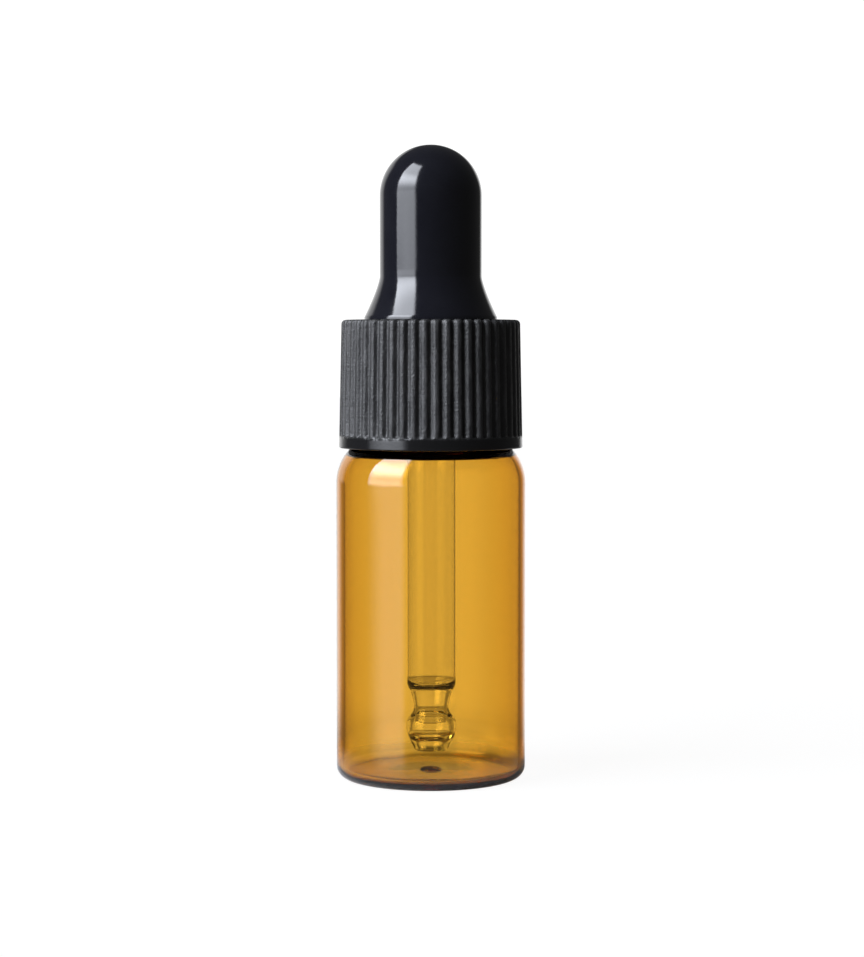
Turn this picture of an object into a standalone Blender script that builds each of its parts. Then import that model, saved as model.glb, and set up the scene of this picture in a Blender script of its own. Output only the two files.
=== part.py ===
"""An amber glass dropper vial: screw cap, rubber bulb, washer and ball-tipped glass pipette.

Metres, +Z up. The origin is on the axis, in the plane of the foot. Every piece is turned round
the same axis, so a profile is a list of (radius, height) points measured from the piece's own
origin, which lies on that axis. A profile runs down its outer side.
"""

import math

import bmesh
import bpy
from mathutils import Matrix

MM = 0.001
GAP = 0.3 * MM  # clearance between neighbouring pieces

# Vial
VIAL_RADIUS = 11.0 * MM
WALL = 0.8 * MM
FLOOR = 0.9 * MM
HEEL_RADIUS = 1.4 * MM
INNER_HEEL_RADIUS = 0.7 * MM
FOOT_RING = 5.5 * MM  # inner radius of the flat ring that the vial stands on
PUSH_UP = 0.35 * MM  # rise of the foot's hollow middle
GOB_RADIUS = 1.35 * MM  # bead of glass in the middle of the floor
GOB_HEIGHT = 0.44 * MM
SHOULDER_Z = 34.4 * MM
SHOULDER_RADIUS = 5.8 * MM
NECK_RADIUS = 7.8 * MM
BORE_RADIUS = 6.3 * MM
RIM_Z = 49.6 * MM
RIM_ROUNDING = 0.5 * MM

# Thread, the same helix on the neck and in the cap, half a pitch apart
THREAD_LEAD = 3.175 * MM
THREAD_TURNS = 1.5
THREAD_RUN_OUT = 0.15  # turns over which a ridge sinks into its wall
THREAD_SINK = 0.65 * MM
THREAD_END = 0.25  # a ridge's size at its ends, as a share of its full size
NECK_RIDGE = 0.8 * MM
NECK_RIDGE_OFFSET = 0.15 * MM  # how far the ridge's centre stands off its wall
NECK_THREAD_Z = 42.8 * MM
CAP_RIDGE = 0.75 * MM
CAP_RIDGE_OFFSET = 0.1 * MM

# Washer
WASHER_RADIUS = 7.85 * MM
WASHER_THICKNESS = 0.7 * MM

# Bulb
FLANGE_RADIUS = 8.8 * MM
FLANGE_THICKNESS = 1.0 * MM
BULB_HEIGHT = 22.6 * MM
BULB_RADIUS = 5.9 * MM
BULB_WALL = 1.3 * MM
BULB_LIP_RADIUS = 7.7 * MM
BULB_LIP_HEIGHT = 2.7 * MM
FLARE_HEIGHT = 7.4 * MM
FLARE_POWER = 1.3  # how the foot of the bulb widens: 1 would be a cone
LEDGE_HEIGHT = 5.3 * MM  # inside, where the pipette's rim rests

# Cap
CAP_HEIGHT = 14.8 * MM
CAP_FOOT_RADIUS = 10.66 * MM
CAP_TOP_RADIUS = 10.37 * MM
CAP_INNER_RADIUS = 9.1 * MM
CAP_PLATE = 1.1 * MM
CAP_HOLE_RADIUS = 8.0 * MM
CAP_CORNER = 0.45 * MM
CAP_BAND = 1.1 * MM  # plain band below the ribs
CAP_MOUTH_RADIUS = 9.7 * MM
CAP_MOUTH_DEPTH = 1.4 * MM
RIBS = 50
RIB_GROOVE = 0.36 * MM  # radius of the round groove between two ribs

# Pipette
PIPETTE_RADIUS = 2.9 * MM
PIPETTE_BORE = 2.6 * MM
PIPETTE_TIP_Z = 3.2 * MM
PIPETTE_RIM_RADIUS = 3.6 * MM
PIPETTE_RIM_HEIGHT = 0.8 * MM
TIP_RADIUS = 2.0 * MM
TIP_BORE = 1.4 * MM
BALL_RADIUS = 3.0 * MM
BALL_HEIGHT = 3.0 * MM  # of the ball's centre above the tip
BALL_BORE = 2.2 * MM
WAIST_RADIUS = 2.0 * MM
WAIST_BORE = 1.5 * MM
WAIST_HEIGHT = 5.1 * MM
NARROWING = 2.5 * MM  # height over which the tube narrows to the waist

# Fineness
WIDE_STEPS = 40  # round a wide turned piece
SLIM_STEPS = 24  # round a slim one
THREAD_STEPS = 24  # in one turn
GROOVE_SIDES = 8
SHOULDER_STEPS = 7
HEEL_STEPS = 4
EDGE_STEPS = 3  # in an inside or outside corner
RIM_STEPS = 2
PUSH_UP_STEPS = 2
DOME_STEPS = 8
CAVITY_STEPS = 5
FLARE_STEPS = 5
BEAD_STEPS = 4  # round the pipette's rim
NARROWING_STEPS = 4
BALL_STEPS = 7
ON_AXIS = 0.000001  # points closer than this are one
SHARP_DEGREES = 35

# Places that follow from the sizes above
SHOULDER_CENTRE = VIAL_RADIUS - SHOULDER_RADIUS
INNER_RADIUS = VIAL_RADIUS - WALL
WASHER_Z = RIM_Z + GAP
BULB_Z = WASHER_Z + WASHER_THICKNESS + GAP
CAP_TOP_Z = BULB_Z + FLANGE_THICKNESS + GAP + CAP_PLATE
CAP_Z = CAP_TOP_Z - CAP_HEIGHT
PIPETTE_SLEEVE = PIPETTE_RADIUS + GAP  # the hole round the pipette in the bulb and the washer
PIPETTE_LENGTH = BULB_Z + LEDGE_HEIGHT + GAP + PIPETTE_RIM_HEIGHT - PIPETTE_TIP_Z


def clear_scene():
    for obj in list(bpy.data.objects):
        bpy.data.objects.remove(obj)


def new_collection(name):
    collection = bpy.data.collections.new(name)
    bpy.context.scene.collection.children.link(collection)
    return collection


def principled(name, colour, roughness, transmission=0.0, ior=1.5):
    """A Principled material. None of the pieces is metal."""
    material = bpy.data.materials.new(name)
    material.use_nodes = True
    shader = material.node_tree.nodes["Principled BSDF"]
    shader.inputs["Base Color"].default_value = (*colour, 1)
    shader.inputs["Metallic"].default_value = 0
    shader.inputs["Roughness"].default_value = roughness
    shader.inputs["Transmission Weight"].default_value = transmission
    shader.inputs["IOR"].default_value = ior
    return material


def arc(centre, radius, start, end, steps):
    """Points of an arc about centre, from start to end degrees, both ends included."""
    angles = [math.radians(start + (end - start) * i / steps) for i in range(steps + 1)]
    return [
        (centre[0] + radius * math.cos(a), centre[1] + radius * math.sin(a)) for a in angles
    ]


def turned(name, profile, closed, steps=WIDE_STEPS):
    """A solid of revolution. A closed profile makes a ring, an open one ends on the axis."""
    mesh = bpy.data.meshes.new(name)
    points = [(radius, 0, height) for radius, height in profile]
    edges = [(i, i + 1) for i in range(len(points) - 1)]
    if closed:
        edges.append((len(points) - 1, 0))
    mesh.from_pydata(points, edges, [])
    obj = bpy.data.objects.new(name, mesh)
    screw = obj.modifiers.new("Turn", "SCREW")
    screw.steps = steps
    screw.render_steps = steps
    screw.use_merge_vertices = True
    screw.merge_threshold = ON_AXIS
    return obj


def mesh_of(obj):
    """The object's mesh with its modifiers applied."""
    bpy.context.view_layer.update()
    graph = bpy.context.evaluated_depsgraph_get()
    return bpy.data.meshes.new_from_object(obj.evaluated_get(graph))


def boolean(obj, operation, other):
    """Cuts or joins with a helper, whose place is measured from the object's own origin."""
    other.parent = obj
    modifier = obj.modifiers.new(operation.title(), "BOOLEAN")
    modifier.operation = operation
    modifier.solver = "EXACT"
    modifier.object = other


def apply_and_shade(obj):
    """Bakes the modifiers and shades the piece smooth between its sharp edges."""
    mesh = mesh_of(obj)
    obj.modifiers.clear()
    obj.data = mesh
    mesh.shade_smooth()
    mesh.set_sharp_from_angle(angle=math.radians(SHARP_DEGREES))


def as_helper(obj, helpers):
    """Keeps a shape that only cuts or joins, out of renders and drawn as a wire."""
    helpers.objects.link(obj)
    obj.hide_render = True
    obj.display_type = "WIRE"
    return obj


def thread_ridge(name, helpers, wall, offset, ridge, outward, first_z):
    """A round ridge along a helix on a wall. It sinks into the wall at both of its ends."""
    curve = bpy.data.curves.new(name, "CURVE")
    curve.dimensions = "3D"
    curve.bevel_depth = ridge
    curve.bevel_resolution = 2
    curve.use_fill_caps = True
    steps = round(THREAD_TURNS * THREAD_STEPS)
    spline = curve.splines.new("POLY")
    spline.points.add(steps)
    for i, point in enumerate(spline.points):
        turn = THREAD_TURNS * i / steps
        full = min(1, min(turn, THREAD_TURNS - turn) / THREAD_RUN_OUT)
        radius = wall + outward * (offset - THREAD_SINK * (1 - full))
        angle = 2 * math.pi * turn
        height = first_z + THREAD_LEAD * turn
        point.co = (radius * math.cos(angle), radius * math.sin(angle), height, 1)
        point.radius = THREAD_END + (1 - THREAD_END) * full
    return welded_curve(name, curve, helpers)


def welded_curve(name, curve, helpers):
    """A curve made into a closed mesh, its loose caps welded to its sides."""
    rough = as_helper(bpy.data.objects.new(name + "_curve", curve), helpers)
    mesh = mesh_of(rough)
    shape = bmesh.new()
    shape.from_mesh(mesh)
    bmesh.ops.remove_doubles(shape, verts=shape.verts, dist=ON_AXIS)
    bmesh.ops.recalc_face_normals(shape, faces=shape.faces)
    shape.to_mesh(mesh)
    shape.free()
    obj = as_helper(bpy.data.objects.new(name, mesh), helpers)
    obj.matrix_world = rough.matrix_world
    bpy.data.objects.remove(rough)
    return obj


def vial_profile():
    """From the middle of the floor, up the inside, over the rim and down the outside."""
    centre = (SHOULDER_CENTRE, SHOULDER_Z)
    inner_arc = INNER_RADIUS - SHOULDER_CENTRE
    bore_angle = math.degrees(math.acos((BORE_RADIUS - SHOULDER_CENTRE) / inner_arc))
    neck_angle = math.degrees(math.acos((NECK_RADIUS - SHOULDER_CENTRE) / SHOULDER_RADIUS))
    corner = INNER_RADIUS - INNER_HEEL_RADIUS
    heel = VIAL_RADIUS - HEEL_RADIUS
    rim = RIM_Z - RIM_ROUNDING
    gob = [(0, FLOOR + GOB_HEIGHT), (GOB_RADIUS, FLOOR)]
    inner_heel = arc((corner, FLOOR + INNER_HEEL_RADIUS), INNER_HEEL_RADIUS, -90, 0, EDGE_STEPS)
    inner_shoulder = arc(centre, inner_arc, 0, bore_angle, SHOULDER_STEPS)
    inner_rim = arc((BORE_RADIUS + RIM_ROUNDING, rim), RIM_ROUNDING, 180, 90, RIM_STEPS)
    outer_rim = arc((NECK_RADIUS - RIM_ROUNDING, rim), RIM_ROUNDING, 90, 0, RIM_STEPS)
    shoulder = arc(centre, SHOULDER_RADIUS, neck_angle, 0, SHOULDER_STEPS)
    outer_heel = arc((heel, HEEL_RADIUS), HEEL_RADIUS, 0, -90, HEEL_STEPS)
    inward = [i / PUSH_UP_STEPS for i in range(PUSH_UP_STEPS + 1)]
    foot = [(FOOT_RING * (1 - share), PUSH_UP * share * (2 - share)) for share in inward]
    inside = gob + inner_heel + inner_shoulder + inner_rim
    return inside + outer_rim + shoulder + outer_heel + foot


def make_vial(helpers):
    vial = turned("glass_vial", vial_profile(), closed=False)
    thread = thread_ridge(
        "neck_thread", helpers, NECK_RADIUS, NECK_RIDGE_OFFSET, NECK_RIDGE, 1, NECK_THREAD_Z
    )
    boolean(vial, "UNION", thread)
    return vial


def make_washer():
    profile = [
        (PIPETTE_SLEEVE, WASHER_THICKNESS),
        (WASHER_RADIUS, WASHER_THICKNESS),
        (WASHER_RADIUS, 0),
        (PIPETTE_SLEEVE, 0),
    ]
    return turned("sealing_washer", profile, closed=True)


def flare_radius(height):
    """The bulb's outer radius between its lip and its straight side."""
    down = (FLARE_HEIGHT - height) / (FLARE_HEIGHT - BULB_LIP_HEIGHT)
    return BULB_RADIUS + (BULB_LIP_RADIUS - BULB_RADIUS) * down**FLARE_POWER


def make_bulb():
    """A hollow teat. The hole up its foot holds the pipette, and the flange seals the vial."""
    dome_z = BULB_HEIGHT - BULB_RADIUS
    cavity = BULB_RADIUS - BULB_WALL
    rise = (FLARE_HEIGHT - BULB_LIP_HEIGHT) / FLARE_STEPS
    flare = [FLARE_HEIGHT - rise * i for i in range(FLARE_STEPS + 1)]
    outline = [
        *arc((0, dome_z), BULB_RADIUS, 90, 0, DOME_STEPS),
        *[(flare_radius(height), height) for height in flare],
        (BULB_LIP_RADIUS, FLANGE_THICKNESS),
        (FLANGE_RADIUS, FLANGE_THICKNESS),
        (FLANGE_RADIUS, 0),
        (PIPETTE_SLEEVE, 0),
        (PIPETTE_SLEEVE, LEDGE_HEIGHT),
        (cavity, LEDGE_HEIGHT),
        *arc((0, dome_z), cavity, 0, 90, CAVITY_STEPS),
    ]
    return turned("rubber_bulb", outline, closed=False)


def cap_blank_profile():
    """The cap before its ribs and thread: a drafted skirt under a plate with a hole."""
    underside = CAP_HEIGHT - CAP_PLATE
    centre = (CAP_TOP_RADIUS - CAP_CORNER, CAP_HEIGHT - CAP_CORNER)
    corner = arc(centre, CAP_CORNER, 90, 0, EDGE_STEPS)
    return [
        (CAP_MOUTH_RADIUS, 0),
        (CAP_MOUTH_RADIUS, CAP_MOUTH_DEPTH),
        (CAP_INNER_RADIUS, CAP_MOUTH_DEPTH + GAP),
        (CAP_INNER_RADIUS, underside),
        (CAP_HOLE_RADIUS, underside),
        (CAP_HOLE_RADIUS, CAP_HEIGHT),
        *corner,
        (CAP_FOOT_RADIUS, 0),
    ]


def rib_grooves(helpers):
    """One upright round rod for each groove, leaning with the skirt and passing out of the top."""
    lean = math.atan((CAP_FOOT_RADIUS - CAP_TOP_RADIUS) / CAP_HEIGHT)
    length = CAP_HEIGHT - CAP_BAND + GAP
    middle = CAP_BAND + length / 2
    surface = CAP_FOOT_RADIUS + (CAP_TOP_RADIUS - CAP_FOOT_RADIUS) * middle / CAP_HEIGHT
    shape = bmesh.new()
    for i in range(RIBS):
        place = (
            Matrix.Rotation(2 * math.pi * i / RIBS, 4, "Z")
            @ Matrix.Translation((surface, 0, middle))
            @ Matrix.Rotation(-lean, 4, "Y")
        )
        bmesh.ops.create_cone(
            shape,
            cap_ends=True,
            segments=GROOVE_SIDES,
            radius1=RIB_GROOVE,
            radius2=RIB_GROOVE,
            depth=length,
            matrix=place,
        )
    mesh = bpy.data.meshes.new("rib_grooves")
    shape.to_mesh(mesh)
    shape.free()
    return as_helper(bpy.data.objects.new("rib_grooves", mesh), helpers)


def make_cap(helpers):
    cap = turned("screw_cap", cap_blank_profile(), closed=True, steps=2 * RIBS)
    first_z = NECK_THREAD_Z - THREAD_LEAD / 2 - CAP_Z
    thread = thread_ridge(
        "cap_thread", helpers, CAP_INNER_RADIUS, CAP_RIDGE_OFFSET, CAP_RIDGE, -1, first_z
    )
    boolean(cap, "DIFFERENCE", rib_grooves(helpers))
    boolean(cap, "UNION", thread)
    return cap


def narrowing(wide, narrow):
    """A smooth step in radius from the tube down to the waist, without its lowest point."""
    top = WAIST_HEIGHT + NARROWING
    shares = [i / NARROWING_STEPS for i in range(NARROWING_STEPS)]
    return [
        (narrow + (wide - narrow) * (1 + math.cos(math.pi * s)) / 2, top - NARROWING * s)
        for s in shares
    ]


def ball_outline(ball, waist, tip):
    """An arc round the ball from the waist to the tip."""
    start = math.degrees(math.acos(waist / ball))
    end = -math.degrees(math.acos(tip / ball))
    return arc((0, BALL_HEIGHT), ball, start, end, BALL_STEPS)


def make_pipette():
    """A glass tube with a rim at its top, and a waist, a ball and a flat-ended tip below."""
    rim = PIPETTE_LENGTH - PIPETTE_RIM_HEIGHT
    round_rim = PIPETTE_RIM_HEIGHT / 2
    rim_centre = (PIPETTE_RIM_RADIUS - round_rim, PIPETTE_LENGTH - round_rim)
    outside = [
        *arc(rim_centre, round_rim, 90, -90, BEAD_STEPS),
        (PIPETTE_RADIUS, rim),
        *narrowing(PIPETTE_RADIUS, WAIST_RADIUS),
        *ball_outline(BALL_RADIUS, WAIST_RADIUS, TIP_RADIUS),
        (TIP_RADIUS, 0),
    ]
    inside = [
        *narrowing(PIPETTE_BORE, WAIST_BORE),
        *ball_outline(BALL_BORE, WAIST_BORE, TIP_BORE),
        (TIP_BORE, 0),
    ]
    bore_top = [(PIPETTE_BORE, PIPETTE_LENGTH)]
    outline = bore_top + outside + inside[::-1]
    return turned("glass_pipette", outline, closed=True, steps=SLIM_STEPS)


def empty(name, z, parent, collection):
    """A frame on the axis, which the pieces of one moving group hang from."""
    frame = bpy.data.objects.new(name, None)
    collection.objects.link(frame)
    frame.parent = parent
    frame.location = (0, 0, z)
    return frame


def place(obj, z, parent, parent_z, material, collection):
    """Puts a piece's origin at height z on the axis, under a frame that stands at parent_z."""
    collection.objects.link(obj)
    obj.parent = parent
    obj.location = (0, 0, z - parent_z)
    apply_and_shade(obj)
    obj.data.materials.append(material)


def build():
    clear_scene()
    parts = new_collection("ink_dropper_bottle")
    helpers = new_collection("cutters_and_threads")
    helpers.hide_render = True
    amber = principled("amber_glass", (0.62, 0.27, 0.035), 0.03, 1.0, 1.52)
    clear = principled("clear_glass", (0.95, 0.96, 0.96), 0.02, 1.0, 1.48)
    black_plastic = principled("black_plastic", (0.022, 0.021, 0.021), 0.42)
    black_rubber = principled("black_rubber", (0.012, 0.012, 0.015), 0.22)
    natural_plastic = principled("natural_plastic", (0.82, 0.82, 0.78), 0.45)

    stand = empty("vial_axis", 0, None, parts)
    dropper = empty("dropper_axis", RIM_Z, stand, parts)
    place(make_vial(helpers), 0, stand, 0, amber, parts)
    place(make_washer(), WASHER_Z, dropper, RIM_Z, natural_plastic, parts)
    place(make_pipette(), PIPETTE_TIP_Z, dropper, RIM_Z, clear, parts)
    place(make_cap(helpers), CAP_Z, dropper, RIM_Z, black_plastic, parts)
    place(make_bulb(), BULB_Z, dropper, RIM_Z, black_rubber, parts)


build()
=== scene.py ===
import math

import bpy
import numpy as np
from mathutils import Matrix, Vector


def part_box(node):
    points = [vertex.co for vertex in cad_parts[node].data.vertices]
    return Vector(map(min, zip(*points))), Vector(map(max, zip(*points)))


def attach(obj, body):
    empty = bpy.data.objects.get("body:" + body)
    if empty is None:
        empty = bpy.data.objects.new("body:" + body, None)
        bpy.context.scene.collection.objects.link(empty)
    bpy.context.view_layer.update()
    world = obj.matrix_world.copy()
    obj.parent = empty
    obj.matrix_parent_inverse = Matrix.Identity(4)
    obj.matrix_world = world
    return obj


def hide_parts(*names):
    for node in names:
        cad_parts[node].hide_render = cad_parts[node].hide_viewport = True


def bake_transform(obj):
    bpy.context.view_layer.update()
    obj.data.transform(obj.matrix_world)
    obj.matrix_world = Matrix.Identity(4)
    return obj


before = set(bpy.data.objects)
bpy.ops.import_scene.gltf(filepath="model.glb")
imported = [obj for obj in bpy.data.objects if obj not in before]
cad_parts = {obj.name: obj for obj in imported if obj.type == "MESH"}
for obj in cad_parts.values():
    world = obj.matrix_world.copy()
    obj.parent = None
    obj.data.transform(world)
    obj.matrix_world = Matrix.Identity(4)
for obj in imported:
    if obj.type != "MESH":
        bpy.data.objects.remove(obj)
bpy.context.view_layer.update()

MM = 0.001
TAU = 2 * math.pi
ON_AXIS = 1e-9  # a row of an outline closer to the axis than this is one vertex
SAME_PLACE = 1e-7  # rows of an outline closer together than this are one row
SHARP_ANGLE = 50  # degrees between two faces above which their edge is drawn sharp

# Places and sizes read from the frame
VIAL_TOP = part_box("glass_vial")[1]
CAP_LOW, CAP_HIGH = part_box("screw_cap")
BULB_LOW, BULB_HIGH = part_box("rubber_bulb")
PIPETTE_LOW, PIPETTE_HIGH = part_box("glass_pipette")
WASHER_LOW, WASHER_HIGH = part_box("sealing_washer")
VIAL_RADIUS = VIAL_TOP.x
RIM_Z = VIAL_TOP.z
CAP_Z = CAP_LOW.z
CAP_TOP_Z = CAP_HIGH.z
CAP_FOOT_RADIUS = CAP_HIGH.x
BULB_Z = BULB_LOW.z
BULB_TOP_Z = BULB_HIGH.z
FLANGE_RADIUS = BULB_HIGH.x
TIP_Z = PIPETTE_LOW.z
PIPETTE_TOP_Z = PIPETTE_HIGH.z
PIPETTE_RIM_RADIUS = PIPETTE_HIGH.x

# Vial
WALL = 0.8 * MM
WALL_WAVE = 0.009 * MM  # unevenness of the drawn tube, on its inside
WAVE_FADE = 3 * MM  # height above the floor's corner over which the waves grow
WAVES = ((2, 0.4), (5, 1.9), (9, 4.2), (14, 0.7))  # waves in a turn, and phase
FLOOR = 0.9 * MM
HEEL_RADIUS = 1.4 * MM
INNER_HEEL_RADIUS = 0.72 * MM
FOOT_RING = 5.5 * MM  # inner radius of the flat ring that the vial stands on
PUSH_UP = 0.35 * MM  # height of the hollow inside that ring
GOB_RADIUS = 1.35 * MM  # the bead of glass in the middle of the floor
GOB_HEIGHT = 0.44 * MM
ROUND_STEPS = 8
SHOULDER_Z = 34.4 * MM
SHOULDER_RADIUS = 5.8 * MM
SHOULDER_CENTRE = VIAL_RADIUS - SHOULDER_RADIUS
NECK_RADIUS = 7.8 * MM
BORE_RADIUS = 6.3 * MM
INNER_SHOULDER_END = 36  # degrees up its curve where the shoulder's inside turns into a cone
CONE_SLOPE = 34  # degrees above level
THROAT_ROUNDING = 0.6 * MM
RIM_ROUNDING = 0.5 * MM
VIAL_COLUMNS = 192

# Thread
THREAD_LEAD = 3.175 * MM
THREAD_TURNS = 1.5
THREAD_RUN_OUT = 0.12  # turns over which the ridge dies away
RIDGE_SHAPE = 0.7  # below 1 the ridge has a broader crest and steeper sides
THREAD_HALF_WIDTH = 0.85 * MM
NECK_THREAD_Z = 42.8 * MM
NECK_THREAD_HEIGHT = 0.9 * MM
CAP_THREAD_Z = NECK_THREAD_Z - THREAD_LEAD / 2  # so its ridge lies between the neck's
CAP_THREAD_HEIGHT = 0.8 * MM
THREAD_ROW = 0.13 * MM  # height between two rows of vertices where there is a thread
NECK_ROWS = (-0.5, THREAD_TURNS + 0.4)  # where those rows start and end, in turns
CAP_ROWS = (-1 / 3, THREAD_TURNS + 0.33)

# Cap
CAP_TOP_RADIUS = 10.37 * MM
CAP_INNER_RADIUS = 9.1 * MM
CAP_PLATE = 1.1 * MM
CAP_HOLE_RADIUS = 7.78 * MM
CAP_HOLE_ROUNDING = 0.2 * MM
CAP_CORNER = 0.5 * MM
CAP_FOOT_ROUNDING = 0.15 * MM
CAP_BAND = 1.35 * MM  # height of the plain band below the ribs
CAP_MOUTH_RADIUS = 9.7 * MM
CAP_MOUTH_DEPTH = 1.4 * MM
CAP_MOUTH_SLOPE = 0.3 * MM  # height of the slope between the mouth and the thread's bore
RIBS = 50
RIB_DEPTH = 0.36 * MM
RIB_CREST = 0.1  # half of a crest's flat top, as a share of the pitch
RIB_END = 0.4 * MM  # height over which a groove runs out above the plain band
RIB_COLUMNS = 12

# Bulb
FLANGE_THICKNESS = 1.0 * MM
FLANGE_ROUNDING = 0.2 * MM
BULB_RADIUS = 5.9 * MM
BULB_WALL = 1.3 * MM
BULB_LIP_RADIUS = 7.7 * MM
BULB_LIP_Z = BULB_Z + 2.7 * MM
FLARE_Z = BULB_Z + 7.4 * MM  # top of the flare
FLARE_POWER = 1.3
LEDGE_Z = BULB_Z + 5.3 * MM  # floor of the cavity, round the sleeve
GRIP_GAP = 0.05 * MM  # between the pipette and the rubber or the washer round it
BULB_COLUMNS = 128

# Pipette
PIPETTE_RADIUS = 2.9 * MM
PIPETTE_BORE = 2.7 * MM
PIPETTE_RIM_ROUNDING = 0.4 * MM
PIPETTE_MOUTH = 0.25 * MM  # depth of the slope inside the rim
WAIST_Z = 12.6 * MM  # where the straight tube ends
TIP_RADIUS = 1.9 * MM
TIP_BORE = 1.48 * MM
PIPETTE_COLUMNS = 96

# Washer
WASHER_ROUNDING = 0.12 * MM

# Studio
FLOOR_RADIUS = 2000 * MM
FLOOR_GAP = 0.02 * MM  # between the floor and the foot, so that they don't share a plane
CAMERA_PLACE = (0.14 * MM, -278 * MM, 50.5 * MM)
CAMERA_TILT = 3.216  # degrees below level
CAMERA_LENS = 90
CAMERA_SENSOR = 36


def arc(centre, radius, start, end, steps):
    """Points of an arc about centre, from start to end degrees, both ends included."""
    angles = [math.radians(start + (end - start) * i / steps) for i in range(steps + 1)]
    return [
        (centre[0] + radius * math.cos(a), centre[1] + radius * math.sin(a)) for a in angles
    ]


def straight(start, end, spacing):
    """Points from start to end, at most spacing apart, both ends included."""
    length = math.dist(start, end)
    steps = max(1, math.ceil(length / spacing))
    return [
        (
            start[0] + (end[0] - start[0]) * i / steps,
            start[1] + (end[1] - start[1]) * i / steps,
        )
        for i in range(steps + 1)
    ]


def smooth_curve(points, steps):
    """A Catmull-Rom curve through the points."""
    ends = [points[0], *points, points[-1]]
    curve = []
    for before, start, end, after in zip(ends, ends[1:], ends[2:], ends[3:]):
        for i in range(steps):
            t = i / steps
            curve.append(
                tuple(
                    0.5
                    * (
                        2 * b
                        + (c - a) * t
                        + (2 * a - 5 * b + 4 * c - d) * t**2
                        + (3 * b - a - 3 * c + d) * t**3
                    )
                    for a, b, c, d in zip(before, start, end, after)
                )
            )
    return [*curve, points[-1]]


def rings(points, relief=None):
    """Rows of an outline, each with the relief that raises or sinks its ring of vertices."""
    return [(radius, z, relief) for radius, z in points]


def without_repeats(outline):
    """The outline without rows that stand where the one before them does."""
    kept = [outline[0]]
    for row in outline[1:]:
        if math.dist(row[:2], kept[-1][:2]) > SAME_PLACE:
            kept.append(row)
    return kept


def lathe(name, outline, angles, closed):
    """Turns an outline round the axis into one closed mesh. It runs down its outer side."""
    vertices = []
    faces = []
    rows = []
    columns = len(angles)
    for radius, z, relief in without_repeats(outline):
        if radius < ON_AXIS:
            rows.append([len(vertices)] * columns)
            vertices.append((0, 0, z))
            continue
        reach = radius + (relief(angles, z) if relief else np.zeros(columns))
        rows.append(range(len(vertices), len(vertices) + columns))
        vertices += zip(reach * np.cos(angles), reach * np.sin(angles), [z] * columns)
    if closed:
        rows.append(rows[0])
    for upper, lower in zip(rows, rows[1:]):
        for i in range(columns):
            j = (i + 1) % columns
            faces.append(list(dict.fromkeys((upper[i], lower[i], lower[j], upper[j]))))
    mesh = bpy.data.meshes.new(name)
    mesh.from_pydata([tuple(map(float, v)) for v in vertices], [], faces)
    mesh.shade_smooth()
    mesh.set_sharp_from_angle(angle=math.radians(SHARP_ANGLE))
    piece = bpy.data.objects.new(name, mesh)
    bpy.context.scene.collection.objects.link(piece)
    return piece


def even_angles(columns):
    """Angles of that many columns, evenly round a turn."""
    return np.arange(columns) * TAU / columns


def thread_rows(radius, first_z, turns):
    """Close rows up a straight side, between two places given in turns of the thread."""
    low = first_z + THREAD_LEAD * turns[0]
    high = first_z + THREAD_LEAD * turns[1]
    return straight((radius, low), (radius, high), THREAD_ROW)


def thread_relief(first_z, height):
    """A rounded ridge along a helix, which dies away at both of its ends."""

    def relief(angles, z):
        total = np.zeros(len(angles))
        for turn in range(-1, 3):
            along = angles / TAU + turn
            ends = np.clip(np.minimum(along, THREAD_TURNS - along) / THREAD_RUN_OUT, -1, 1)
            run = 0.5 + 0.5 * np.sin(ends * math.pi / 2)
            across = np.clip((z - first_z - THREAD_LEAD * along) / THREAD_HALF_WIDTH, -1, 1)
            ridge = (0.5 + 0.5 * np.cos(math.pi * across)) ** RIDGE_SHAPE
            total = np.maximum(total, ridge * run)
        return height * total

    return relief


def wall_waves(angles, z):
    """Long shallow waves along the inside of the wall, which die away near the foot."""
    waves = sum(np.sin(count * angles + phase) for count, phase in WAVES)
    rise = (z - FLOOR - INNER_HEEL_RADIUS) / WAVE_FADE
    return WALL_WAVE * min(1, max(0, rise)) * waves


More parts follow.
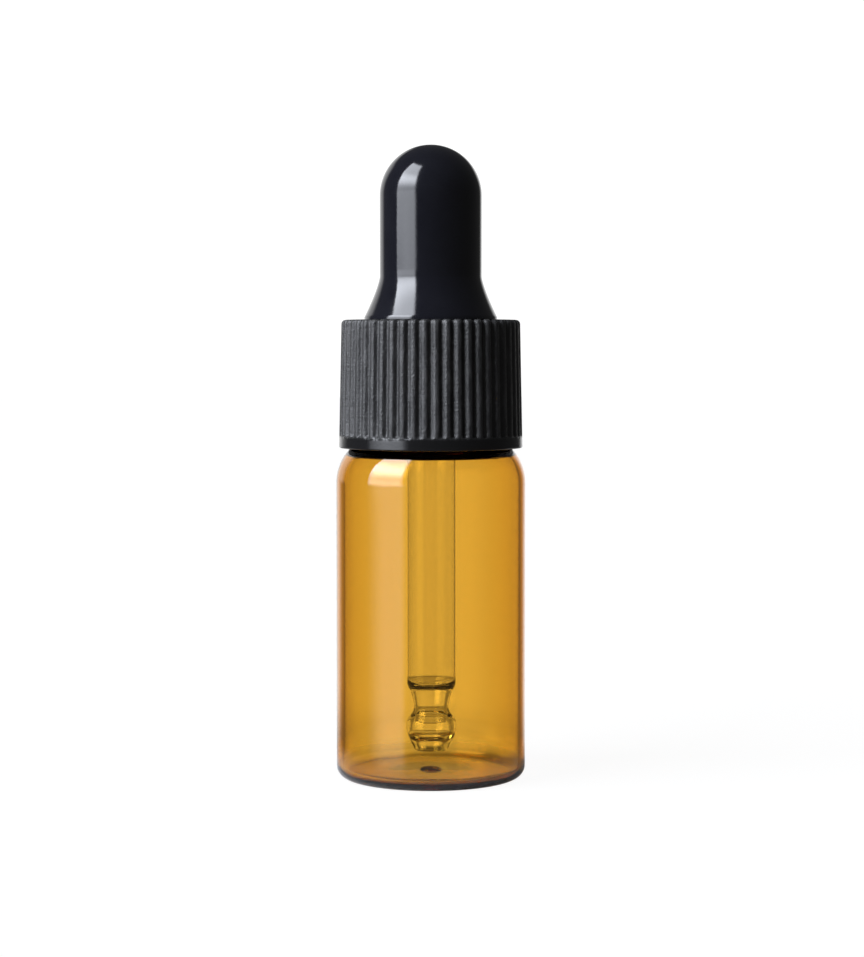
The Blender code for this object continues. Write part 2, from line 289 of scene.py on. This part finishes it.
def make_vial():
    """From the middle of the floor, up the inside, over the rim and down the outside.

    The inside of the shoulder follows the outside, then runs as a cone to the bore.
    """
    inner_radius = VIAL_RADIUS - WALL
    centre = (SHOULDER_CENTRE, SHOULDER_Z)
    steps = range(ROUND_STEPS + 1)
    slope = math.radians(CONE_SLOPE)
    inner_shoulder = arc(centre, SHOULDER_RADIUS - WALL, 0, INNER_SHOULDER_END, 24)
    cone_foot = inner_shoulder[-1]
    bore_z = cone_foot[1] + (cone_foot[0] - BORE_RADIUS) * math.tan(slope)
    throat_z = bore_z + THROAT_ROUNDING * math.tan(math.pi / 4 - slope / 2)
    throat = arc(
        (BORE_RADIUS + THROAT_ROUNDING, throat_z), THROAT_ROUNDING, 270 - CONE_SLOPE, 180, 8
    )
    neck_angle = math.degrees(math.acos((NECK_RADIUS - SHOULDER_CENTRE) / SHOULDER_RADIUS))
    inner_foot = (inner_radius, FLOOR + INNER_HEEL_RADIUS)
    waves_full = (inner_radius, inner_foot[1] + WAVE_FADE)
    corner = inner_radius - INNER_HEEL_RADIUS
    heel = VIAL_RADIUS - HEEL_RADIUS
    rim = RIM_Z - RIM_ROUNDING
    shoulder = arc(centre, SHOULDER_RADIUS, neck_angle, 0, 28)
    gob = [
        (GOB_RADIUS * share, FLOOR + GOB_HEIGHT * math.sqrt(1 - share**2))
        for share in (i / ROUND_STEPS for i in steps)
    ]
    threaded = thread_rows(NECK_RADIUS, NECK_THREAD_Z, NECK_ROWS)[::-1]
    neck = [
        *straight((NECK_RADIUS, rim), threaded[0], 1 * MM),
        *threaded,
        *straight(threaded[-1], shoulder[0], 1 * MM),
    ]
    push_up = [
        (FOOT_RING * share, PUSH_UP * (0.5 + 0.5 * math.cos(math.pi * share)))
        for share in (i / ROUND_STEPS for i in reversed(steps))
    ]
    outline = [
        *rings(gob),
        *rings(straight((GOB_RADIUS, FLOOR), (corner, FLOOR), 1.5 * MM)),
        *rings(arc((corner, inner_foot[1]), INNER_HEEL_RADIUS, -90, 0, 10)),
        *rings(straight(inner_foot, waves_full, 1 * MM), wall_waves),
        *rings(straight(waves_full, (inner_radius, SHOULDER_Z), 4 * MM), wall_waves),
        *rings(inner_shoulder, wall_waves),
        *rings(straight(cone_foot, throat[0], 0.2 * MM)),
        *rings(throat),
        *rings(arc((BORE_RADIUS + RIM_ROUNDING, rim), RIM_ROUNDING, 180, 90, 8)),
        *rings(arc((NECK_RADIUS - RIM_ROUNDING, rim), RIM_ROUNDING, 90, 0, 8)),
        *rings(neck, thread_relief(NECK_THREAD_Z, NECK_THREAD_HEIGHT)),
        *rings(shoulder),
        *rings(straight((VIAL_RADIUS, SHOULDER_Z), (VIAL_RADIUS, HEEL_RADIUS), 4 * MM)),
        *rings(arc((heel, HEEL_RADIUS), HEEL_RADIUS, 0, -90, 14)),
        *rings(straight((heel, 0), (FOOT_RING, 0), 1.5 * MM)),
        *rings(push_up),
    ]
    return lathe("amber_vial", outline, even_angles(VIAL_COLUMNS), closed=False)


def flare_radius(z):
    """The bulb's outer radius between its lip and its straight side."""
    down = (FLARE_Z - z) / (FLARE_Z - BULB_LIP_Z)
    return BULB_RADIUS + (BULB_LIP_RADIUS - BULB_RADIUS) * down**FLARE_POWER


def make_bulb():
    """A hollow teat on a flange, with a sleeve inside that holds the pipette."""
    dome_z = BULB_TOP_Z - BULB_RADIUS
    cavity = BULB_RADIUS - BULB_WALL
    sleeve = PIPETTE_RADIUS + GRIP_GAP
    flange_top = BULB_Z + FLANGE_THICKNESS
    flange_side = FLANGE_RADIUS - FLANGE_ROUNDING
    flare = [(flare_radius(z), z) for z in np.linspace(FLARE_Z, BULB_LIP_Z, 24)]
    outline = [
        *arc((0, dome_z), BULB_RADIUS, 90, 0, 32),
        *straight((BULB_RADIUS, dome_z), (BULB_RADIUS, FLARE_Z), 0.8 * MM),
        *flare,
        *straight((BULB_LIP_RADIUS, BULB_LIP_Z), (BULB_LIP_RADIUS, flange_top), 0.5 * MM),
        *arc((flange_side, flange_top - FLANGE_ROUNDING), FLANGE_ROUNDING, 90, 0, 5),
        *arc((flange_side, BULB_Z + FLANGE_ROUNDING), FLANGE_ROUNDING, 0, -90, 5),
        *straight((sleeve, BULB_Z), (sleeve, LEDGE_Z), 1 * MM),
        *straight((cavity, LEDGE_Z), (cavity, dome_z), 0.8 * MM),
        *arc((0, dome_z), cavity, 0, 90, 20),
    ]
    return lathe("squeeze_bulb", rings(outline), even_angles(BULB_COLUMNS), closed=False)


def rib_relief(angles, z):
    """Grooves between rounded ribs, which run out above the plain band at the foot."""
    across = abs((angles * RIBS / TAU + 0.5) % 1 - 0.5)
    down = np.clip((across - RIB_CREST) / (0.5 - RIB_CREST), 0, 1)
    depth = 0.5 - 0.5 * np.cos(math.pi * down)
    above = (z - CAP_Z - CAP_BAND) / RIB_END
    share = min(1, max(0, above))
    return -RIB_DEPTH * depth * math.sin(share * math.pi / 2)


def make_cap():
    """A ribbed skirt with a threaded inside, under a plate with a hole for the bulb."""
    stations = [i / RIB_COLUMNS - 0.5 for i in range(RIB_COLUMNS)]
    angles = np.array(
        [(rib + station) * TAU / RIBS for rib in range(RIBS) for station in stations]
    )
    underside = CAP_TOP_Z - CAP_PLATE
    corner = (CAP_TOP_RADIUS - CAP_CORNER, CAP_TOP_Z - CAP_CORNER)
    skirt_top = (CAP_TOP_RADIUS, CAP_TOP_Z - CAP_CORNER)
    band_top = CAP_Z + CAP_BAND
    slope = (CAP_TOP_RADIUS - CAP_FOOT_RADIUS) / (CAP_TOP_Z - CAP_Z)
    foot_z = CAP_Z + CAP_FOOT_ROUNDING
    hole_edge = (CAP_HOLE_RADIUS + CAP_HOLE_ROUNDING, CAP_TOP_Z - CAP_HOLE_ROUNDING)
    mouth_top = CAP_Z + CAP_MOUTH_DEPTH

    def skirt(z):
        """The point of the tapered outside at that height."""
        return (CAP_FOOT_RADIUS + slope * (z - CAP_Z), z)

    skirt_points = [
        *straight(skirt_top, skirt(band_top + RIB_END), 2 * MM),
        *straight(skirt(band_top + RIB_END), skirt(band_top), RIB_END / 5),
        *straight(skirt(band_top), skirt(foot_z), 0.4 * MM),
    ]
    foot_out = (CAP_FOOT_RADIUS - CAP_FOOT_ROUNDING, foot_z)
    foot_in = (CAP_MOUTH_RADIUS + CAP_FOOT_ROUNDING, foot_z)
    inner = CAP_INNER_RADIUS
    threaded = thread_rows(inner, CAP_THREAD_Z, CAP_ROWS)
    outline = [
        *rings(arc(hole_edge, CAP_HOLE_ROUNDING, 180, 90, 4)),
        *rings(straight((hole_edge[0], CAP_TOP_Z), (corner[0], CAP_TOP_Z), 0.5 * MM)),
        *rings(arc(corner, CAP_CORNER, 90, 0, 7), rib_relief),
        *rings(skirt_points, rib_relief),
        *rings(arc(foot_out, CAP_FOOT_ROUNDING, 0, -90, 4)),
        *rings(arc(foot_in, CAP_FOOT_ROUNDING, -90, -180, 4)),
        *rings(straight((CAP_MOUTH_RADIUS, foot_z), (CAP_MOUTH_RADIUS, mouth_top), 1 * MM)),
        *rings([(inner, mouth_top + CAP_MOUTH_SLOPE)]),
        *rings(threaded, thread_relief(CAP_THREAD_Z, -CAP_THREAD_HEIGHT)),
        *rings(straight(threaded[-1], (inner, underside), 1 * MM)),
        *rings(straight((inner, underside), (CAP_HOLE_RADIUS, underside), 0.5 * MM)),
    ]
    return lathe("ribbed_cap", outline, angles, closed=True)


def make_pipette():
    """A glass tube with a fire-polished rim above, and a waist, a ball and a flat tip below."""
    rounding = PIPETTE_RIM_ROUNDING
    rim_centre = (PIPETTE_RIM_RADIUS - rounding, PIPETTE_TOP_Z - rounding)
    rim_foot = PIPETTE_TOP_Z - 2 * rounding
    # The tip's waist and ball, as radii and heights in millimetres, from above
    outer = [
        (2.9, 12.5), (2.9, 11.3), (2.85, 10.9), (2.7, 10.5), (2.48, 10.1), (2.28, 9.6),
        (2.1, 8.9), (2.02, 8.4), (2.04, 7.95), (2.24, 7.5), (2.66, 7.05), (2.92, 6.65),
        (3.0, 6.2), (2.98, 5.7), (2.86, 5.2), (2.64, 4.6), (2.38, 4.05), (2.12, 3.6),
        (2.0, 3.3),
    ]
    inner = [
        (2.7, 12.5), (2.7, 11.5), (2.6, 11.15), (2.34, 10.85), (2.02, 10.55), (1.84, 10.1),
        (1.72, 9.4), (1.62, 8.6), (1.6, 8.1), (1.68, 7.6), (1.9, 7.1), (2.12, 6.6),
        (2.24, 6.1), (2.24, 5.6), (2.08, 5.15), (1.78, 4.8), (1.52, 4.55), (1.42, 4.2),
        (1.4, 3.35),
    ]
    outer_curve = smooth_curve([(r * MM, z * MM) for r, z in outer], 5)
    inner_curve = smooth_curve([(r * MM, z * MM) for r, z in inner], 5)
    outline = [
        (PIPETTE_BORE, PIPETTE_TOP_Z - PIPETTE_MOUTH),
        (PIPETTE_BORE + 0.1 * MM, PIPETTE_TOP_Z),
        *arc(rim_centre, rounding, 90, -80, 10),
        (PIPETTE_RADIUS, rim_foot - 0.1 * MM),
        *straight((PIPETTE_RADIUS, rim_foot - 1 * MM), (PIPETTE_RADIUS, WAIST_Z), 4 * MM),
        *outer_curve,
        (TIP_RADIUS, TIP_Z),
        (TIP_BORE, TIP_Z),
        *inner_curve[::-1],
        *straight((PIPETTE_BORE, WAIST_Z), (PIPETTE_BORE, PIPETTE_TOP_Z - 1 * MM), 4 * MM),
    ]
    return lathe("dropper_pipette", rings(outline), even_angles(PIPETTE_COLUMNS), closed=True)


def make_washer():
    """A thin flat ring with rounded edges."""
    rounding = WASHER_ROUNDING
    inner = PIPETTE_RADIUS + GRIP_GAP
    outer = WASHER_HIGH.x
    low = WASHER_LOW.z
    high = WASHER_HIGH.z
    outline = [
        *arc((inner + rounding, high - rounding), rounding, 180, 90, 4),
        *straight((inner + rounding, high), (outer - rounding, high), 0.8 * MM),
        *arc((outer - rounding, high - rounding), rounding, 90, 0, 4),
        *arc((outer - rounding, low + rounding), rounding, 0, -90, 4),
        *straight((outer - rounding, low), (inner + rounding, low), 0.8 * MM),
        *arc((inner + rounding, low + rounding), rounding, -90, -180, 4),
    ]
    return lathe("rim_washer", rings(outline), even_angles(PIPETTE_COLUMNS), closed=True)


class Nodes:
    """A node tree, with short ways to add nodes and join them."""

    def __init__(self, tree):
        self.tree = tree

    def add(self, kind, **settings):
        node = self.tree.nodes.new(kind)
        for key, value in settings.items():
            setattr(node, key, value)
        return node

    def join(self, source, target):
        self.tree.links.new(source, target)

    def math(self, operation, *values):
        """Arithmetic on numbers and on other nodes' outputs."""
        node = self.add("ShaderNodeMath", operation=operation)
        for socket, value in zip(node.inputs, values):
            if isinstance(value, (int, float)):
                socket.default_value = value
            else:
                self.join(value, socket)
        return node.outputs[0]

    def times(self, *values):
        """The product of all the values."""
        product = values[0]
        for value in values[1:]:
            product = self.math("MULTIPLY", product, value)
        return product


class Shader(Nodes):
    """A material, whose surface and volume are built from nodes."""

    def __init__(self, name):
        self.material = bpy.data.materials.new(name)
        self.material.use_nodes = True
        super().__init__(self.material.node_tree)
        self.surface = self.tree.nodes["Principled BSDF"]
        self.output = self.tree.nodes["Material Output"]
        self.position = self.add("ShaderNodeTexCoord").outputs["Object"]

    def set(self, **values):
        """Sets the surface's inputs, which are named with _ for each space."""
        for key, value in values.items():
            self.surface.inputs[key.replace("_", " ")].default_value = value

    def stretched(self, x, y, z):
        """The object's coordinates, scaled along each axis."""
        mapping = self.add("ShaderNodeMapping")
        mapping.inputs["Scale"].default_value = (x, y, z)
        self.join(self.position, mapping.inputs["Vector"])
        return mapping.outputs["Vector"]

    def noise(self, coordinates, scale, detail=2.0, roughness=0.5):
        """Noise between 0 and 1, with about scale features in a metre."""
        node = self.add("ShaderNodeTexNoise")
        node.inputs["Scale"].default_value = scale
        node.inputs["Detail"].default_value = detail
        node.inputs["Roughness"].default_value = roughness
        self.join(coordinates, node.inputs["Vector"])
        return node.outputs["Fac"]

    def remap(self, value, low, high, to_low, to_high):
        """Turns low into to_low and high into to_high, and holds still outside them."""
        node = self.add("ShaderNodeMapRange")
        for key, number in zip(
            ("From Min", "From Max", "To Min", "To Max"), (low, high, to_low, to_high)
        ):
            node.inputs[key].default_value = number
        self.join(value, node.inputs["Value"])
        return node.outputs["Result"]

    def mix(self, share, first, second):
        """A colour between two others."""
        node = self.add("ShaderNodeMix", data_type="RGBA")
        self.join(share, node.inputs["Factor"])
        for key, value in (("A", first), ("B", second)):
            target = [s for s in node.inputs if s.name == key and s.type == "RGBA"][0]
            if isinstance(value, tuple):
                target.default_value = (*value, 1)
            else:
                self.join(value, target)
        return [s for s in node.outputs if s.type == "RGBA"][0]

    def blend(self, share, first, second):
        """A surface between two others."""
        node = self.add("ShaderNodeMixShader")
        for socket, value in zip(node.inputs, (share, first, second)):
            self.join(value, socket)
        return node.outputs[0]

    def bump(self, height, depth):
        """Relief in the surface's normal, depth metres between a height of 0 and of 1."""
        node = self.add("ShaderNodeBump")
        node.inputs["Distance"].default_value = depth
        node.inputs["Strength"].default_value = 1.0
        self.join(height, node.inputs["Height"])
        self.join(node.outputs["Normal"], self.surface.inputs["Normal"])

    def absorb(self, red, green, blue):
        """Absorption inside the piece, as what each colour loses in a metre."""
        node = self.add("ShaderNodeVolumeAbsorption")
        most = max(red, green, blue)
        left = (1 - red / most, 1 - green / most, 1 - blue / most, 1)
        node.inputs["Density"].default_value = most
        node.inputs["Color"].default_value = left
        self.join(node.outputs["Volume"], self.output.inputs["Volume"])


def amber_glass():
    """Brown-yellow glass, with the faint lengthwise cords that a drawn tube has."""
    shader = Shader("amber_glass")
    shader.set(Base_Color=(1, 1, 1, 1), Roughness=0.0, IOR=1.52, Transmission_Weight=1.0)
    cords = shader.noise(shader.stretched(1, 1, 0.03), 420)
    shader.bump(cords, 0.006 * MM)
    shader.absorb(184, 590, 2050)
    return shader.material


def clear_glass():
    """Colourless glass, with fainter cords."""
    shader = Shader("clear_glass")
    shader.set(Base_Color=(1, 1, 1, 1), Roughness=0.0, IOR=1.5, Transmission_Weight=1.0)
    cords = shader.noise(shader.stretched(1, 1, 0.04), 700)
    shader.bump(cords, 0.003 * MM)
    shader.absorb(6, 3, 5)
    return shader.material


def black_rubber():
    """Smooth glossy rubber with a faint mottle and a very fine grain."""
    shader = Shader("black_rubber")
    shader.set(IOR=1.5)
    dark = (0.005, 0.0052, 0.0082)
    light = (0.007, 0.0073, 0.0105)
    mottle = shader.noise(shader.position, 260, 4, 0.6)
    grain = shader.noise(shader.position, 1800)
    colour = shader.mix(shader.remap(mottle, 0.3, 0.7, 0, 1), dark, light)
    shader.join(colour, shader.surface.inputs["Base Color"])
    shader.join(shader.remap(mottle, 0.3, 0.7, 0.07, 0.11), shader.surface.inputs["Roughness"])
    shader.bump(grain, 0.004 * MM)
    return shader.material


def black_plastic():
    """Moulded plastic, grained and scuffed with short upright marks where it is ribbed.

    The plain band below the ribs is darker, glossier and almost without grain.
    """
    shader = Shader("black_plastic")
    shader.set(IOR=1.5)
    band = (0.007, 0.007, 0.0074)
    clean = (0.018, 0.018, 0.0185)
    scuffed = (0.05, 0.05, 0.0505)
    band_roughness = (0.1, 0.18)
    extra_roughness = 0.27
    band_grain = 0.04
    band_top = CAP_Z + CAP_BAND
    edge = 0.2 * MM
    grain = shader.noise(shader.position, 3800, 3, 0.6)
    scuffs = shader.noise(shader.stretched(1, 1, 0.25), 1500, 3, 0.65)
    height = shader.add("ShaderNodeSeparateXYZ")
    shader.join(shader.position, height.inputs[0])
    ribbed = shader.remap(height.outputs[2], band_top - edge, band_top + edge, 0, 1)
    colour = shader.mix(shader.remap(scuffs, 0.45, 0.7, 0, 1), clean, scuffed)
    colour = shader.mix(ribbed, band, colour)
    roughness = shader.remap(scuffs, 0.3, 0.7, *band_roughness)
    roughness = shader.math("ADD", roughness, shader.times(ribbed, extra_roughness))
    relief = shader.times(grain, shader.remap(ribbed, 0, 1, band_grain, 1))
    shader.join(colour, shader.surface.inputs["Base Color"])
    shader.join(roughness, shader.surface.inputs["Roughness"])
    shader.bump(relief, 0.09 * MM)
    return shader.material


def milky_plastic():
    """Uncoloured plastic that lets a little light in, slightly cloudy."""
    shader = Shader("milky_plastic")
    shader.set(IOR=1.5, Subsurface_Weight=0.3, Subsurface_Scale=1 * MM)
    dull = (0.78, 0.78, 0.74)
    milky = (0.88, 0.88, 0.85)
    cloud = shader.noise(shader.position, 500, 3)
    colour = shader.mix(cloud, dull, milky)
    shader.join(colour, shader.surface.inputs["Base Color"])
    shader.join(shader.remap(cloud, 0.3, 0.7, 0.35, 0.5), shader.surface.inputs["Roughness"])
    shader.bump(shader.noise(shader.position, 2500), 0.008 * MM)
    return shader.material


def make_floor():
    """A pale floor. The camera sees it almost white, with the object's soft shadow.

    Through the glass and in its reflections only a patch of it round the foot is seen,
    and the studio beyond that. That patch has painted shade, darkest at the foot.
    """
    bpy.ops.mesh.primitive_circle_add(
        vertices=96, radius=FLOOR_RADIUS, fill_type="NGON", location=(0, 0, -FLOOR_GAP)
    )
    floor = bpy.context.object
    floor.name = "floor"
    shader = Shader("floor")
    shader.set(Roughness=0.7, Specular_IOR_Level=0.1)
    shader.set(Emission_Color=(1, 1, 1, 1), Emission_Strength=0.12)
    pale = (0.9, 0.9, 0.9)
    whiteness = 0.95  # how nearly white the camera sees it
    # Painted shade on the floor, seen through the glass and in reflections: darker at the foot,
    # lighter across the patch
    painted_shade_at_foot = 0.5
    painted_shade_of_patch = 0.66
    foot_edge = 0.95 * VIAL_RADIUS
    foot_end = 15 * MM  # distance from the axis at which the darker painted shade at the foot ends
    patch_edge = 14 * MM
    patch_end = 30 * MM
    from_axis = shader.add("ShaderNodeVectorMath", operation="LENGTH")
    shader.join(shader.position, from_axis.inputs[0])
    distance = from_axis.outputs["Value"]
    seen = shader.add("ShaderNodeLightPath").outputs["Is Camera Ray"]
    unseen = shader.math("SUBTRACT", 1, seen)
    # Painted shade round the foot, for all but camera rays
    painted_floor_shade = shader.remap(distance, foot_edge, foot_end, painted_shade_at_foot, painted_shade_of_patch)
    grain = shader.remap(shader.noise(shader.position, 400, 3), 0, 1, 0.97, 1.03)
    colour = shader.mix(seen, shader.times(painted_floor_shade, grain), pale)
    shader.join(colour, shader.surface.inputs["Base Color"])
    beyond = shader.remap(distance, patch_edge, patch_end, 0, 1)
    white = shader.add("ShaderNodeEmission").outputs[0]
    gone = shader.add("ShaderNodeBsdfTransparent").outputs[0]
    lit = shader.blend(shader.times(seen, whiteness), shader.surface.outputs[0], white)
    whole = shader.blend(shader.times(beyond, unseen), lit, gone)
    shader.join(whole, shader.output.inputs["Surface"])
    floor.data.materials.append(shader.material)


class Sky(Nodes):
    """The world, whose light is shaped by its direction from the camera, in degrees."""

    def __init__(self):
        world = bpy.data.worlds.new("studio")
        bpy.context.scene.world = world
        world.use_nodes = True
        super().__init__(world.node_tree)
        unit = self.add("ShaderNodeVectorMath", operation="NORMALIZE")
        parts = self.add("ShaderNodeSeparateXYZ")
        self.join(self.add("ShaderNodeTexCoord").outputs["Camera"], unit.inputs[0])
        self.join(unit.outputs[0], parts.inputs[0])
        right, up, ahead = parts.outputs
        self.azimuth = self.math("ARCTAN2", right, ahead)
        self.elevation = self.math("ARCSINE", up)
        self.path = self.add("ShaderNodeLightPath")

    def ramp(self, angle, low, high):
        """0 below low, 1 above high, smooth between them."""
        node = self.add("ShaderNodeMapRange", interpolation_type="SMOOTHSTEP")
        node.inputs["From Min"].default_value = math.radians(low)
        node.inputs["From Max"].default_value = math.radians(high)
        self.join(angle, node.inputs["Value"])
        return node.outputs["Result"]

    def window(self, angle, low, high, fade_in, fade_out):
        """1 between low and high, fading to 0 outside them."""
        ended = self.math("SUBTRACT", 1, self.ramp(angle, high, high + fade_out))
        return self.times(self.ramp(angle, low - fade_in, low), ended)

    def across(self, low, high, fade_in, fade_out):
        """A window from left to right."""
        return self.window(self.azimuth, low, high, fade_in, fade_out)

    def upward(self, low, high, fade_in, fade_out):
        """A window from below to above."""
        return self.window(self.elevation, low, high, fade_in, fade_out)


def studio_room(sky):
    """The white backdrop, what is beside and below it, and the dark rest of the room."""
    panel_level = 0.85
    ground_level = 0.5
    room_level = 0.075
    fill_level = 0.35
    backdrop = sky.times(sky.across(-25, 18, 20, 18), sky.upward(-5.1, 16, 3.2, 8))
    panel = sky.times(sky.across(-38, -14, 14, 8), sky.upward(3, 26, 4, 10), panel_level)
    ground = sky.times(sky.across(-50, 50, 20, 20), sky.upward(-60, -12, 20, 4), ground_level)
    room = sky.math("MAXIMUM", sky.math("MAXIMUM", backdrop, panel), ground)
    room = sky.math("ADD", room, room_level)
    # The backdrop is a little dimmer just right of the middle
    room = sky.times(room, sky.math("MULTIPLY_ADD", sky.across(1.5, 3, 1.5, 4), -0.05, 1))
    # Glass also passes on a fill from level directions, so that its edges aren't black
    through = sky.path.outputs["Is Transmission Ray"]
    fill = sky.times(through, sky.upward(-20, 20, 10, 10), fill_level)
    return sky.math("MAXIMUM", room, fill)


def studio_softbox(sky):
    """A tall softbox, in front on the left, brighter towards its top.

    Its upper part has sharp sides. Its lower part fades out slowly towards the left.
    """
    brightness = 1.5
    for shape, level in (
        (sky.ramp(sky.elevation, -5, 0), 3.3),  # dimmer below level
        (sky.upward(2, 6, 2, 2), 0.7),  # a faint band just above level
        (sky.upward(28, 30, 17, 14), 6.0),  # a wide soft band halfway up
        (sky.ramp(sky.elevation, 8, 40), 4.6),  # and brighter all the way to the top
    ):
        brightness = sky.math("ADD", brightness, sky.times(shape, level))
    upper = sky.across(-141, -99, 7, 2)
    lower = sky.across(-142, -125, 9, 32)
    change = sky.times(sky.math("SUBTRACT", upper, lower), sky.ramp(sky.elevation, -3, 4))
    outline = sky.times(sky.math("ADD", lower, change), sky.upward(-30, 60, 3, 4))
    return sky.times(outline, brightness)


def make_light():
    """A studio round the object, as the world's light. It keeps its place about the camera.

    A white backdrop stands behind the object, a tall softbox in front on the left, and the
    right is dark. Directions are degrees from straight ahead of the camera, left and down
    negative. The camera itself sees plain white.
    """
    sky = Sky()
    white_level = 1.1
    lamp_colour = (0.95, 0.99, 1.08, 1)
    seen = sky.path.outputs["Is Camera Ray"]
    hidden = sky.math("SUBTRACT", 1, seen)
    plain = sky.tree.nodes["Background"]
    plain.inputs["Color"].default_value = (1, 1, 1, 1)
    room = sky.times(hidden, studio_room(sky))
    strength = sky.math("MULTIPLY_ADD", seen, white_level, room)
    sky.join(strength, plain.inputs["Strength"])
    lamp = sky.add("ShaderNodeBackground")
    lamp.inputs["Color"].default_value = lamp_colour
    sky.join(sky.times(hidden, studio_softbox(sky)), lamp.inputs["Strength"])
    both = sky.add("ShaderNodeAddShader")
    sky.join(plain.outputs[0], both.inputs[0])
    sky.join(lamp.outputs[0], both.inputs[1])
    sky.join(both.outputs[0], sky.tree.nodes["World Output"].inputs["Surface"])


def make_camera():
    """A long lens a little above the vial's rim, tilted down to the middle of the object."""
    camera = bpy.data.objects.new("camera", bpy.data.cameras.new("camera"))
    bpy.context.scene.collection.objects.link(camera)
    camera.location = CAMERA_PLACE
    camera.rotation_euler = (math.radians(90 - CAMERA_TILT), 0, 0)
    camera.data.lens = CAMERA_LENS
    camera.data.sensor_width = CAMERA_SENSOR
    camera.data.clip_start = 10 * MM
    camera.data.clip_end = 10
    bpy.context.scene.camera = camera


def finish_piece(piece, material, node, body):
    """Gives a piece its material, hides the CAD part that it replaces, and attaches it to its
    body if one is given.
    """
    piece.data.materials.append(material)
    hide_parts(node)
    if body:
        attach(piece, body)


finish_piece(make_vial(), amber_glass(), "glass_vial", "vial")
finish_piece(make_cap(), black_plastic(), "screw_cap", "cap")
finish_piece(make_pipette(), clear_glass(), "glass_pipette", "pipette")
finish_piece(make_washer(), milky_plastic(), "sealing_washer", "washer")
bulb = make_bulb()
finish_piece(bulb, black_rubber(), "rubber_bulb", None)
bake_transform(bulb)

make_floor()
make_light()
make_camera()
bpy.context.scene.view_settings.view_transform = "Standard"
